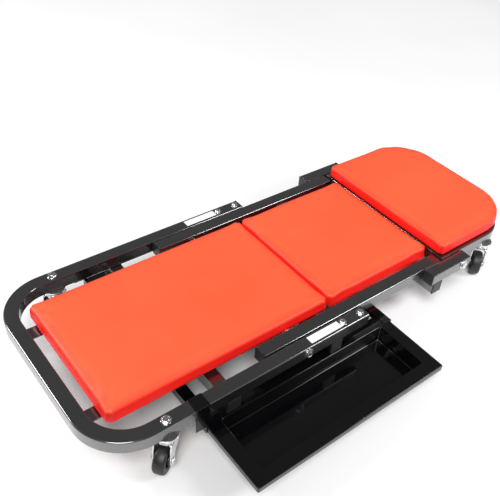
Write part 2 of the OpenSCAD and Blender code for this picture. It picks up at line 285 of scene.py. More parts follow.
def box(bm, a, b, r=0.8, seg=2, matrix=None):
    """A block between two opposite corners, given in any order."""
    part = bmesh.new()
    bmesh.ops.create_cube(part, size=1)
    lo = [min(p, q) for p, q in zip(a, b)]
    hi = [max(p, q) for p, q in zip(a, b)]
    for v in part.verts:
        v.co = Vector([lo[i] + (v.co[i] + 0.5) * (hi[i] - lo[i]) for i in range(3)])
    bevel(part, r, seg)
    merge(bm, part, matrix)


def prism(bm, outline, z0, z1, r=0.6, seg=2, matrix=None):
    """An outline in x and y, extruded from z0 to z1 with rounded edges."""
    part = bmesh.new()
    low = [part.verts.new((x, y, z0)) for x, y in outline]
    high = [part.verts.new((x, y, z1)) for x, y in outline]
    n = len(outline)
    for i in range(n):
        j = (i + 1) % n
        part.faces.new([low[i], low[j], high[j], high[i]])
    part.faces.new(list(reversed(low)))
    part.faces.new(high)
    bmesh.ops.recalc_face_normals(part, faces=part.faces)
    bevel(part, r, seg)
    merge(bm, part, matrix)


def loops_to_part(loops, close_loop=False):
    """Joins rings of equal count with quads.

    An open row of rings gets end faces, a closed row runs back to its start.
    """
    part = bmesh.new()
    rings = [[part.verts.new(p) for p in loop] for loop in loops]
    n = len(rings[0])
    pairs = list(zip(rings, rings[1:])) + ([(rings[-1], rings[0])] if close_loop else [])
    for a, b in pairs:
        for i in range(n):
            j = (i + 1) % n
            part.faces.new([a[i], a[j], b[j], b[i]])
    if not close_loop:
        part.faces.new(list(reversed(rings[0])))
        part.faces.new(rings[-1])
    bmesh.ops.recalc_face_normals(part, faces=part.faces)
    return part


def lathe(bm, profile, n=48, matrix=None, closed=False):
    """A profile of (radius, z) turned about z.

    A closed profile makes a ring, an open one starts and ends at the axis.
    """
    angles = [2 * math.pi * i / n for i in range(n)]
    if closed:
        loops = [[(r * math.cos(a), r * math.sin(a), z) for r, z in profile] for a in angles]
    else:
        loops = [[(r * math.cos(a), r * math.sin(a), z) for a in angles] for r, z in profile]
    merge(bm, loops_to_part(loops, close_loop=closed), matrix)


def rounded(w, h, r, seg):
    """Outline of a w by h rectangle about the origin with corner radius r."""
    points = []
    for cx, cy, start in ((w / 2 - r, h / 2 - r, 0), (-w / 2 + r, h / 2 - r, 90),
                          (-w / 2 + r, -h / 2 + r, 180), (w / 2 - r, -h / 2 + r, 270)):
        for i in range(seg + 1):
            a = math.radians(start + 90 * i / seg)
            points.append((cx + r * math.cos(a), cy + r * math.sin(a)))
    return points


def tube(bm, path, z_mid, w, h, r=2.6, seg=4, cut=0.35):
    """Square tube along a path of (x, y) points, with rounded corners and slightly broken end edges."""
    loops = []
    pts = [Vector((x, y)) for x, y in path]
    for i, p in enumerate(pts):
        before = (p - pts[i - 1]).normalized() if i else None
        after = (pts[i + 1] - p).normalized() if i < len(pts) - 1 else None
        t = before or after
        if before is not None and after is not None:
            t = (before + after).normalized()
        side = Vector((t.y, -t.x))
        # A mitred ring is wider than the tube, by the angle it stands at.
        grow = 1 / max(0.5, side.dot(Vector((before.y, -before.x)))) if before is not None else 1
        steps = [(0, 0)]
        if i == 0:
            steps = [(0, cut), (cut, 0)]
        elif i == len(pts) - 1:
            steps = [(-cut, 0), (0, cut)]
        for along, inset in steps:
            ring = rounded(w * grow - 2 * inset, h - 2 * inset, r, seg)
            loops.append([(p.x + side.x * u + t.x * along, p.y + side.y * u + t.y * along, z_mid + v)
                          for u, v in ring])
    merge(bm, loops_to_part(loops))


def arc(cx, cy, r, a0, a1, n):
    """Points on a circle from one angle to another, in degrees, in n steps."""
    return [(cx + r * math.cos(math.radians(a0 + (a1 - a0) * i / n)),
             cy + r * math.sin(math.radians(a0 + (a1 - a0) * i / n))) for i in range(n + 1)]


def bead(bm, a, b, r=1.8, pitch=2.6):
    """A weld bead: a ribbed seam of overlapping puddles from a to b, three rings to each."""
    a, b = Vector(a), Vector(b)
    t = (b - a).normalized()
    u = t.orthogonal().normalized()
    v = t.cross(u)
    puddles = max(2, int((b - a).length / pitch))
    rings = 3 * puddles
    loops = []
    for i in range(rings + 1):
        size = r * (0.35 if i in (0, rings) else (0.82, 1.0, 0.96)[i % 3])
        c = a + (b - a) * i / rings
        loops.append([tuple(c + size * (u * math.cos(k * math.pi / 4) + v * math.sin(k * math.pi / 4)))
                      for k in range(8)])
    merge(bm, loops_to_part(loops))


def hexagon(across, turned=0):
    """Outline of a hexagon by its width across the flats."""
    r = across / math.sqrt(3)
    angles = [math.radians(60 * i + turned) for i in range(6)]
    return [(r * math.cos(a), r * math.sin(a)) for a in angles]


def hex_bolt(bm, matrix, across, h, washer=True):
    """Hex head on a washer, with a raised crown and a turned ring, pointing along local z."""
    base = 0
    if washer:
        r = across * 0.68
        disc = [(AXIS, 0), (r, 0), (r + 0.25, 0.25), (r + 0.25, 0.8), (r - 0.1, 1.1), (AXIS, 1.1)]
        lathe(bm, disc, 32, matrix)
        base = 1.0
    prism(bm, hexagon(across, 12), base, h - 0.6, 0.5, 2, matrix)
    r = across * 0.46
    crown = [(AXIS, base), (r, base), (r, h - 0.7), (r - 0.5, h - 0.2), (r - 1.3, h - 0.3),
             (r - 1.6, h - 0.75), (AXIS, h - 0.75)]
    lathe(bm, crown, 32, matrix)


def spot(x, y, z):
    """Moves the local origin to a point."""
    return Matrix.Translation((x, y, z))


def facing(x, y, z, axis):
    """Puts local z along a direction."""
    turn = Vector((0, 0, 1)).rotation_difference(Vector(axis)).to_matrix().to_4x4()
    return Matrix.Translation((x, y, z)) @ turn


def finish_mesh(bm, name, sharp=42):
    """A mesh that is smooth across all edges but the sharp ones."""
    bm.normal_update()
    for f in bm.faces:
        f.smooth = True
    for e in bm.edges:
        if len(e.link_faces) == 2:
            e.smooth = e.calc_face_angle() < math.radians(sharp)
    mesh = bpy.data.meshes.new(name)
    bm.to_mesh(mesh)
    bm.free()
    return mesh


def only(obj):
    """Selects one object and makes it active."""
    for o in bpy.context.selected_objects:
        o.select_set(False)
    obj.select_set(True)
    bpy.context.view_layer.objects.active = obj


def apply_all(obj):
    """Applies every modifier of an object."""
    only(obj)
    bpy.ops.object.convert(target="MESH")


def piece(bm, name, body, slot, *nodes, matrix=None, weighted=True):
    """One visible piece that rides on a body and stands for the CAD nodes named."""
    bm.transform(TO_FRAME if matrix is None else TO_FRAME @ matrix)
    obj = bpy.data.objects.new(name, finish_mesh(bm, name))
    bpy.context.scene.collection.objects.link(obj)
    if weighted:
        mod = obj.modifiers.new("normals", "WEIGHTED_NORMAL")
        mod.keep_sharp = True
        mod.weight = 80
        apply_all(obj)
    obj.data.materials.append(LOOK[slot])
    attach(obj, body)
    if nodes:
        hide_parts(*nodes)


# ------------------------------------------------------------------ frame

# LOW, TOP, MID and Z are heights, X, FOOT, END and HEAD are places along the creeper, and Y and HALF
# count sideways from its middle.
TUBE = 25.0
RAIL_LOW = 75.0
RAIL_TOP = RAIL_LOW + TUBE
RAIL_MID = RAIL_LOW + TUBE / 2
RAIL_Y = 186.7
BASE_HALF = 199.2
MID_LOW = RAIL_LOW + 0.4
MID_TOP = MID_LOW + TUBE
MID_Z = MID_LOW + TUBE / 2
MID_HALF = 172.5
MID_RAIL_Y = MID_HALF - TUBE / 2
BOX_Y = MID_HALF + TUBE / 2
BOX_HALF = MID_HALF + TUBE
HINGE_A, HINGE_B = 333.0, 735.0
HEAD_OUT, HEAD_IN = MID_HALF - 1, MID_HALF - TUBE
FOOT_END, RAIL_END, BASE_BEND = -44.0, 473, 90.0
MID_FOOT, MID_HEAD = 260, 692
BOX_FOOT, BOX_END = 644, 754
HEAD_FOOT, HEAD_END, HEAD_BEND = 697, 914, 72
CROSS = (171.0, 388.0)
BEAM_X, BEAM_LOW, BEAM_HALF = 538.0, 45.0, 144.0
RUNG_X = 653.0
PLATE_LOW = RAIL_LOW - 5
PAD_BARS = (88, 113)
PAD_BAR_FOOT, PAD_BAR_HEAD = -19, 428
BEAM_ARMS = (52, 76)
STRAP = (111.3, 136)
STRAP_LOW = 50
END_BOLTS = (419, 461)
FOOT_CASTER_X = 68
REAR_CASTER_X, REAR_CASTER_Y = 596, 100
HEAD_CASTER_X, HEAD_CASTER_Y = 847, 160
# Thickness of a plug's head, and how far its shank stands in from the outside of the tube.
PLUG, SHANK = 2, 1.7

# Base frame: one tube bent round the foot end.
bm = bmesh.new()
centre_r = BASE_BEND - TUBE / 2
c = FOOT_END + BASE_BEND
path = [(RAIL_END - PLUG, RAIL_Y), (300, RAIL_Y), (c + 0.5, RAIL_Y)]
path += arc(c, BASE_HALF - BASE_BEND, centre_r, 90, 180, 22)
path += arc(c, -BASE_HALF + BASE_BEND, centre_r, 180, 270, 22)
path += [(c + 0.5, -RAIL_Y), (300, -RAIL_Y), (RAIL_END - PLUG, -RAIL_Y)]
tube(bm, path, RAIL_MID, TUBE, TUBE)
piece(bm, "base_tube", "base", "frame", "base_frame")


def cross_tube(bm, x, half, z_mid):
    """Square tube across the creeper from side to side, cut short for its plugs."""
    tube(bm, [(x + TUBE / 2, -half + PLUG), (x + TUBE / 2, half - PLUG)], z_mid, TUBE, TUBE)


bm = bmesh.new()
for x in CROSS:
    cross_tube(bm, x, BASE_HALF, RAIL_LOW - TUBE / 2)
cross_tube(bm, BEAM_X, BEAM_HALF, BEAM_LOW + TUBE / 2)
piece(bm, "base_rungs", "base", "frame", "base_cross_tubes", "rear_beam")

bm = bmesh.new()
for s in SIDES:
    box(bm, (PAD_BAR_FOOT, s * PAD_BARS[0], RAIL_LOW), (PAD_BAR_HEAD, s * PAD_BARS[1], RAIL_LOW + 3), 0.9)
piece(bm, "pad_straps", "base", "frame", "pad_bars")

bm = bmesh.new()
for s in SIDES:
    box(bm, (CROSS[1] + TUBE, s * BEAM_ARMS[0], PLATE_LOW), (BEAM_X + TUBE, s * BEAM_ARMS[1], RAIL_LOW), 1.2)
piece(bm, "beam_straps", "base", "frame", "beam_arms")

# A strap on each rail at the tray's foot end. Only the one on the -Y side laps over its rail.
bm = bmesh.new()
x0, x1 = STRAP
box(bm, (x0, BASE_HALF, STRAP_LOW), (x1, BASE_HALF + 2, RAIL_TOP - 4), 0.8)
box(bm, (x0, -BASE_HALF - 2, STRAP_LOW), (x1, -BASE_HALF, RAIL_TOP + 1.2), 0.8)
box(bm, (x0, -BASE_HALF - 2, RAIL_TOP), (x1, -BASE_HALF + TUBE - 0.5, RAIL_TOP + 2), 0.8)
piece(bm, "rail_straps", "base", "tray_steel", "runner_straps")

# Plugs: a flat head with a soft edge over a plain shank.
bm = bmesh.new()
for s in SIDES:
    y = s * RAIL_Y
    shank = TUBE / 2 - SHANK
    box(bm, (RAIL_END - PLUG, y - TUBE / 2, RAIL_LOW), (RAIL_END, y + TUBE / 2, RAIL_TOP), 0.9)
    box(bm, (466, y - shank, RAIL_LOW + SHANK), (471.2, y + shank, RAIL_TOP - SHANK), 0.5)
    for x, half, z in ((CROSS[0], BASE_HALF, RAIL_LOW - TUBE), (CROSS[1], BASE_HALF, RAIL_LOW - TUBE),
                       (BEAM_X, BEAM_HALF, BEAM_LOW)):
        box(bm, (x, s * (half - PLUG), z), (x + TUBE, s * half, z + TUBE), 0.9)
        box(bm, (x + SHANK, s * (half - 7), z + SHANK),
            (x + TUBE - SHANK, s * (half - 1.8), z + TUBE - SHANK), 0.5)
piece(bm, "base_plugs", "base", "cap", "base_end_caps")

# Bolts through the rails.
bm = bmesh.new()
shaft = [(AXIS, PLATE_LOW + 5), (3.9, PLATE_LOW + 5), (3.9, RAIL_TOP + 0.2), (AXIS, RAIL_TOP + 0.2)]
for s in SIDES:
    hex_bolt(bm, spot(FOOT_CASTER_X, s * RAIL_Y, RAIL_TOP), 12, 5.5)
    lathe(bm, shaft, 24, spot(FOOT_CASTER_X, s * RAIL_Y, 0))
piece(bm, "caster_bolts_base", "base", "bolt", "base_top_bolts")

bm = bmesh.new()
shaft = [(AXIS, RAIL_LOW - 8), (2.5, RAIL_LOW - 8), (3, RAIL_LOW - 7.4), (3, RAIL_TOP + 0.2),
         (AXIS, RAIL_TOP + 0.2)]
for s in SIDES:
    for x in END_BOLTS:
        hex_bolt(bm, spot(x, s * RAIL_Y, RAIL_TOP), 10.4, 4.5)
        lathe(bm, shaft, 20, spot(x, s * RAIL_Y, 0))
        prism(bm, hexagon(10), RAIL_LOW - 5, RAIL_LOW, 0.5, 2, spot(x, s * RAIL_Y, 0))
piece(bm, "rail_bolts", "base", "bolt", "rail_end_bolts")


def hinge_hardware(x, y_out, y_in, body, names, nodes):
    """Hinge bolt with its head outside and a nut inside, on both sides."""
    bolt, nut = bmesh.new(), bmesh.new()
    length = y_out - y_in
    rod = [(AXIS, 0), (3.95, 0), (3.95, length + 8.2), (3.2, length + 9), (AXIS, length + 9)]
    for s in SIDES:
        hex_bolt(bolt, facing(x, s * y_out, MID_Z, (0, s, 0)), 13, 5)
        lathe(bolt, rod, 24, facing(x, s * y_out, MID_Z, (0, -s, 0)))
        hex_bolt(nut, facing(x, s * (y_in - 0.5), MID_Z, (0, -s, 0)), 12, 6.5, washer=False)
    piece(bolt, names[0], body, "bolt", nodes[0])
    piece(nut, names[1], body, "bolt", nodes[1])


hinge_hardware(HINGE_A, BASE_HALF, HEAD_IN, "base", ("fold_bolts_base", "fold_nuts_base"),
               ("hinge_bolts_base", "hinge_nuts_base"))
hinge_hardware(HINGE_B, BOX_HALF, HEAD_IN, "middle", ("fold_bolts_head", "fold_nuts_head"),
               ("hinge_bolts_head", "hinge_nuts_head"))

# Middle section.
bm = bmesh.new()
for s in SIDES:
    y = s * MID_RAIL_Y
    tube(bm, [(MID_FOOT + PLUG, y), (MID_HEAD, y)], MID_Z, TUBE, TUBE)
piece(bm, "middle_tubes", "middle", "frame", "mid_rails")

bm = bmesh.new()
for s in SIDES:
    tube(bm, [(BOX_FOOT + PLUG, s * BOX_Y), (BOX_END - PLUG, s * BOX_Y)], MID_Z, TUBE, TUBE)
piece(bm, "hinge_boxes", "middle", "frame", "mid_boxes")

bm = bmesh.new()
cross_tube(bm, RUNG_X, BOX_HALF, MID_LOW - TUBE / 2)
piece(bm, "middle_rungs", "middle", "frame", "mid_cross_tubes")

bm = bmesh.new()
for s in SIDES:
    for x, y in ((MID_FOOT, s * MID_RAIL_Y), (BOX_FOOT, s * BOX_Y), (BOX_END - PLUG, s * BOX_Y)):
        box(bm, (x, y - TUBE / 2, MID_LOW), (x + PLUG, y + TUBE / 2, MID_TOP), 0.9)
    box(bm, (RUNG_X, s * (BOX_HALF - PLUG), MID_LOW - TUBE), (RUNG_X + TUBE, s * BOX_HALF, MID_LOW), 0.9)
piece(bm, "middle_plugs", "middle", "cap", "mid_end_caps")

bm = bmesh.new()
for s in SIDES:
    bead(bm, (BOX_FOOT + 3, s * MID_HALF, MID_TOP - 0.4), (MID_HEAD - 1, s * MID_HALF, MID_TOP - 0.4))
    bead(bm, (BOX_FOOT + 3, s * MID_HALF, MID_LOW + 0.2), (RUNG_X - 1, s * MID_HALF, MID_LOW + 0.2))
    for x in (RUNG_X, RUNG_X + TUBE):
        bead(bm, (x, s * (MID_HALF - 22), MID_LOW - 0.6), (x, s * (BOX_HALF - 3), MID_LOW - 0.6), 1.6)
piece(bm, "middle_welds", "middle", "frame", weighted=False)

# Head section.
bm = bmesh.new()
wide = HEAD_OUT - HEAD_IN
yc, centre_r = (HEAD_OUT + HEAD_IN) / 2, HEAD_BEND - wide / 2
c = HEAD_END - HEAD_BEND
path = [(HEAD_FOOT + PLUG, yc), (780, yc), (c - 0.5, yc)]
path += arc(c, HEAD_OUT - HEAD_BEND, centre_r, 90, 0, 16)
path += arc(c, -HEAD_OUT + HEAD_BEND, centre_r, 0, -90, 16)
path += [(c - 0.5, -yc), (780, -yc), (HEAD_FOOT + PLUG, -yc)]
tube(bm, path, MID_Z, wide, TUBE)
piece(bm, "head_tube", "head", "frame", "head_frame")

bm = bmesh.new()
tube(bm, [(HINGE_B - 23.5, -HEAD_IN + 0.3), (HINGE_B - 23.5, HEAD_IN - 0.3)], MID_Z, TUBE, TUBE)
piece(bm, "head_rung", "head", "frame", "head_cross_tube")

bm = bmesh.new()
for s in SIDES:
    box(bm, (HEAD_FOOT, s * HEAD_IN, MID_LOW), (HEAD_FOOT + PLUG, s * HEAD_OUT, MID_TOP), 0.9)
piece(bm, "head_plugs", "head", "cap", "head_end_caps")

bm = bmesh.new()
for s in SIDES:
    for x in (HINGE_B - 36, HINGE_B - 11):
        bead(bm, (x, s * (HEAD_IN + 0.2), MID_LOW + 3), (x, s * (HEAD_IN + 0.2), MID_TOP - 3), 1.5)
piece(bm, "head_welds", "head", "frame", weighted=False)

# Welds of the base: along the cross tubes, and at both corners of each pad bar.
bm = bmesh.new()
bar_end, bar_top = PAD_BAR_FOOT + 0.4, RAIL_LOW + 3
for s in SIDES:
    for x in CROSS:
        for e in (x, x + TUBE):
            bead(bm, (e, s * (BASE_HALF - 22), RAIL_LOW - 0.6), (e, s * (BASE_HALF - 3), RAIL_LOW - 0.6), 1.6)
    for y, inward in zip(PAD_BARS, (1, -1)):
        bead(bm, (bar_end, s * (y + inward), bar_top), (bar_end, s * (y + 9 * inward), bar_top), 1.5)
piece(bm, "base_welds", "base", "frame", weighted=False)

# Tray: a folded sheet with a turned-down lip, a flat flange and a bowl.
TRAY = (131.5, 536.0, -330.0, -175.0)
TRAY_TOP, LIP_LOW, BOWL_LOW, SHEET, FLANGE = 48.0, 37.0, 14.0, 1.5, 26.0


def tray_ring(d, z, r):
    """Outline of the tray at a distance in from its edge and a height, with corner radius r."""
    x0, x1, y0, y1 = TRAY
    ring = rounded(x1 - x0 - 2 * d, y1 - y0 - 2 * d, r, 5)
    return [((x0 + x1) / 2 + u, (y0 + y1) / 2 + v, z) for u, v in ring]


def turn(d, z, r, a0, a1, n=4):
    """Steps of a rounded fold: centre in (distance from the edge, height), from angle a0 to a1."""
    return [(d + r * math.cos(math.radians(a0 + (a1 - a0) * i / n)),
             z + r * math.sin(math.radians(a0 + (a1 - a0) * i / n))) for i in range(n + 1)]


# The folded sheet in section: up the inside of the bowl, out over the flange, down the lip, then back
# underneath. Both ends are closed, as the top and bottom of the bowl's floor.
sheet_line = turn(FLANGE + 3, BOWL_LOW + SHEET + 3, 3, 270, 180)
sheet_line += turn(FLANGE - 1.9, TRAY_TOP - 1.9, 1.9, 0, 90) + turn(1.8, TRAY_TOP - 1.8, 1.8, 90, 180)
sheet_line += [(0, LIP_LOW + 0.4), (0.3, LIP_LOW), (SHEET - 0.3, LIP_LOW), (SHEET, LIP_LOW + 0.4)]
sheet_line += turn(1.8, TRAY_TOP - 1.8, 0.3, 180, 90) + turn(FLANGE - 1.9, TRAY_TOP - 1.9, 0.4, 90, 0)
sheet_line += turn(FLANGE + 3, BOWL_LOW + 4.5, 4.5, 180, 270)
bm = bmesh.new()
merge(bm, loops_to_part([tray_ring(d, z, 3 if d < FLANGE / 2 else 5) for d, z in sheet_line]))
piece(bm, "tool_tray", "tray", "tray_steel", "tray")

# ------------------------------------------------------------------ casters

SWING, TRAIL, AXLE_Z, CROWN_TOP = 216.0, 13.0, 25.0, 69.8
AXLE_R, AXLE_HALF = 4, 15
# Where each caster's swivel axis stands.
CASTERS = {
    "foot_left": (FOOT_CASTER_X, RAIL_Y), "foot_right": (FOOT_CASTER_X, -RAIL_Y),
    "rear_left": (REAR_CASTER_X, REAR_CASTER_Y), "rear_right": (REAR_CASTER_X, -REAR_CASTER_Y),
    "head_left": (HEAD_CASTER_X, HEAD_CASTER_Y), "head_right": (HEAD_CASTER_X, -HEAD_CASTER_Y),
}


def king(bm, x, y, top):
    """Round plate under the frame with the kingpin below it."""
    rim = [(AXIS, top), (19.2, top), (20, top - 0.6), (20, PLATE_LOW + 0.9), (19.3, PLATE_LOW),
           (15.5, PLATE_LOW), (6, PLATE_LOW), (6, PLATE_LOW - 8.6), (5.4, PLATE_LOW - 9),
           (AXIS, PLATE_LOW - 9)]
    lathe(bm, rim, 64, spot(x, y, 0))


bm = bmesh.new()
for s in SIDES:
    y = s * REAR_CASTER_Y
    king(bm, FOOT_CASTER_X, s * RAIL_Y, RAIL_LOW)
    king(bm, REAR_CASTER_X, y, PLATE_LOW + 4.5)
    box(bm, (BEAM_X, y - 19, PLATE_LOW + 0.02), (REAR_CASTER_X - 2, y + 19, PLATE_LOW + 4.46), 1.2)
piece(bm, "caster_plates_base", "base", "yoke", "caster_mounts_base")

bm = bmesh.new()
for s in SIDES:
    king(bm, HEAD_CASTER_X, s * HEAD_CASTER_Y, MID_LOW)
piece(bm, "caster_plates_head", "head", "yoke", "caster_mounts_head")


def leg_outline():
    """A leg of the fork from the side: wide at the crown, swept back to a round eye at the axle."""
    points = [(15, 61), (-15, 61), (-15, 53), (-13.6, 50), (-9.5, 46), (-4, 41.5), (0.5, 36.5),
              (3.4, 31.5), (5, 26)]
    points += arc(TRAIL, AXLE_Z, 8, 185, 355, 14)
    points += [(20.9, 30), (20.4, 40), (18.2, 52)]
    return points


def both_ways(profile):
    """A profile of (radius, distance from the middle) with its mirror image, as one line."""
    return [(r, -w) for r, w in profile] + [(r, w) for r, w in reversed(profile)]


def caster(name, x, y):
    """Fork, axle bolt, tyre and hub of one caster, with the wheel trailing along SWING."""
    place = spot(x, y, 0) @ Matrix.Rotation(math.radians(SWING), 4, "Z")
    axle = spot(TRAIL, 0, AXLE_Z) @ Matrix.Rotation(math.radians(90), 4, "X")
    stand = Matrix.Rotation(math.radians(90), 4, "X")
    flip = Matrix.Rotation(math.pi, 4, "X")

    bm = bmesh.new()
    crown = [(6.15, 61.4), (6.15, CROWN_TOP - 0.5), (9, CROWN_TOP), (13.4, CROWN_TOP),
             (14.2, CROWN_TOP - 0.5), (14.5, CROWN_TOP - 1.8), (15, CROWN_TOP - 2.3),
             (16.2, CROWN_TOP - 2.8), (16.9, CROWN_TOP - 3.8), (17, CROWN_TOP - 5),
             (16.7, CROWN_TOP - 6.3), (15.6, 61.9), (14.9, 61.3), (9, 61.0)]
    lathe(bm, crown, 64, closed=True)
    box(bm, (-15, -15, 58), (15, -9.5, 61.6), 1.4, 3)
    box(bm, (-15, 9.5, 58), (15, 15, 61.6), 1.4, 3)
    race = [(6.15, 58.4), (6.15, 61.2), (14.6, 61.2), (14.9, 60.8), (14.9, 58.6), (14.5, 58.2)]
    lathe(bm, race, 48, closed=True)
    for z0, z1 in ((12.5, 15), (-15, -12.5)):
        prism(bm, leg_outline(), z0, z1, 0.7, 2, stand)
    boss = [(6.2, 14.6), (8.2, 14.6), (8.4, 15.2), (7.8, 15.6), (6.2, 15.6)]
    for side in (flip, Matrix.Identity(4)):
        lathe(bm, boss, 32, axle @ side, closed=True)
    piece(bm, "yoke_" + name, "caster_" + name, "yoke", "fork_" + name, matrix=place)

    bm = bmesh.new()
    end = AXLE_HALF + 0.2
    lathe(bm, [(AXIS, -end), (AXLE_R, -end), (AXLE_R, end), (AXIS, end)], 28, axle)
    hex_bolt(bm, axle @ spot(0, 0, AXLE_HALF), 10.2, 3.4)
    under = axle @ spot(0, 0, -AXLE_HALF) @ flip
    hex_bolt(bm, under, 10.2, 2.9)
    lathe(bm, [(AXIS, 2.4), (2.6, 2.4), (2.6, 3.2), (2.3, 3.5), (AXIS, 3.5)], 20, under)
    piece(bm, "axle_bolt_" + name, "caster_" + name, "bolt", "axle_" + name, matrix=place)

    bm = bmesh.new()
    tread = [(14.1, 9.0), (15.2, 9.2), (16.2, 9.0), (16.8, 9.2), (18.6, 9.9), (20.2, 10), (21.6, 9.8),
             (22.8, 9.1), (23.8, 7.8), (24.5, 5.9), (24.88, 3.4), (24.95, 0.9), (25.0, 0.35)]
    lathe(bm, both_ways(tread), 96, axle, closed=True)
    piece(bm, "wheel_tyre_" + name, "wheel_" + name, "tyre", "tyre_" + name, matrix=place)

    bm = bmesh.new()
    core = [(4.15, 11.2), (4.6, 11.5), (6.9, 11.5), (7.3, 11.1), (7.5, 10), (7.7, 4.6), (8.3, 3.6),
            (12, 3.6), (12.6, 4.2), (12.8, 6.3), (13.2, 6.9), (14, 7), (14.05, 6.6)]
    lathe(bm, both_ways(core), 72, axle, closed=True)
    for i in range(6):
        spoke = Matrix.Rotation(math.radians(60 * i + 10), 4, "Z")
        for w0, w1 in ((3.2, 6.4), (-6.4, -3.2)):
            box(bm, (7.0, -0.8, w0), (13.2, 0.8, w1), 0.4, 2, axle @ spoke)
    piece(bm, "wheel_hub_" + name, "wheel_" + name, "hub", "hub_" + name, matrix=place)


for key, (x, y) in CASTERS.items():
    caster(key, x, y)

# ------------------------------------------------------------------ pads

# How much smaller a cover starts, and the rounding of its top edge.
PAD_SOFT, PAD_EDGE = 3.0, 3.5
VOXEL = 0.004
CLOTH_FRAMES = 20
# The cloth may move a point by this much in metres, and this share of the movement is kept.
CLOTH_CAP, CLOTH_SHARE = 0.006, 0.4
# Rise of a finished pad above its nominal height.
CROWN = 0.6


def pad_outline(x0, x1, half, r_foot, r_head, inset=0.0):
    """Corner-rounded outline, counterclockwise, drawn in from the edge by an inset."""
    points = []
    x0, x1, half = x0 + inset, x1 - inset, half - inset
    r_foot, r_head = max(2, r_foot - inset), max(2, r_head - inset)
    corners = ((x1 - r_head, -half + r_head, r_head, -90), (x1 - r_head, half - r_head, r_head, 0),
               (x0 + r_foot, half - r_foot, r_foot, 90), (x0 + r_foot, -half + r_foot, r_foot, 180))
    for cx, cy, r, start in corners:
        n = 8 if r < 20 else 26
        for i in range(n + 1):
            a = math.radians(start + 90 * i / n)
            points.append((cx + r * math.cos(a), cy + r * math.sin(a)))
    return points


def pad_form(name, shape, z0, z1, shrink, edge):
    """A closed cover a little smaller than the finished pad, with a tight rounded top edge."""
    top = z1 - shrink * 0.6
    steps = [(shrink + 1.2, z0), (shrink, z0 + 1.5), (shrink, top - edge)]
    steps += [(shrink + edge * (1 - math.cos(math.radians(a))), top - edge + edge * math.sin(math.radians(a)))
              for a in (30, 60, 90)]
    loops = [[at(x, y, z) for x, y in pad_outline(*shape, inset=d)] for d, z in steps]
    part = loops_to_part(loops)
    mesh = bpy.data.meshes.new(name)
    part.to_mesh(mesh)
    part.free()
    obj = bpy.data.objects.new(name, mesh)
    bpy.context.scene.collection.objects.link(obj)
    return obj


def with_modifier(obj, kind, **values):
    """Puts one modifier on an object and applies it."""
    mod = obj.modifiers.new(kind.lower(), kind)
    for key, value in values.items():
        setattr(mod, key, value)
    apply_all(obj)


def swell(obj, floor_z, cap, pressure):
    """Fills the cover with pressure over its board, then keeps the movement small."""
    start = [v.co.copy() for v in obj.data.vertices]
    group = obj.vertex_groups.new(name="held")
    group.add([v.index for v in obj.data.vertices if v.co.z < floor_z + 0.004], 1.0, "REPLACE")
    cloth = obj.modifiers.new("cloth", "CLOTH")
    s = cloth.settings
    s.vertex_group_mass = "held"
    s.quality = 6
    s.mass = 0.25
    s.tension_stiffness = 18
    s.compression_stiffness = 18
    s.shear_stiffness = 8
    s.bending_stiffness = 8
    s.use_pressure = True
    s.uniform_pressure_force = pressure
    s.effector_weights.gravity = 0
    cloth.point_cache.frame_start = 1
    cloth.point_cache.frame_end = CLOTH_FRAMES
    scene = bpy.context.scene
    for f in range(1, CLOTH_FRAMES + 1):
        scene.frame_set(f)
    done = obj.evaluated_get(bpy.context.evaluated_depsgraph_get()).data
    moved = [v.co.copy() for v in done.vertices]
    obj.modifiers.clear()
    obj.vertex_groups.clear()
    scene.frame_set(1)
    for v, a, b in zip(obj.data.vertices, start, moved):
        d = b - a
        if d.length > cap:
            d *= cap / d.length
        v.co = a + d * CLOTH_SHARE
        v.co.z = max(v.co.z, floor_z)


def edge_walk(shape, n=150):
    """Evenly spaced points along the finished outline, with their outward directions."""
    ring = [at(x, y, 0) for x, y in pad_outline(*shape)]
    total = sum((ring[i] - ring[i - 1]).length for i in range(len(ring)))
    points, out, want, run = [], [], 0.0, 0.0
    for i in range(len(ring)):
        a, b = ring[i], ring[(i + 1) % len(ring)]
        d = (b - a).length
        while want <= run + d and len(points) < n:
            p = a.lerp(b, (want - run) / d) if d else a
            t = (b - a).normalized()
            points.append(p)
            out.append(Vector((t.y, -t.x, 0)))
            want += total / n
        run += d
    return points, out


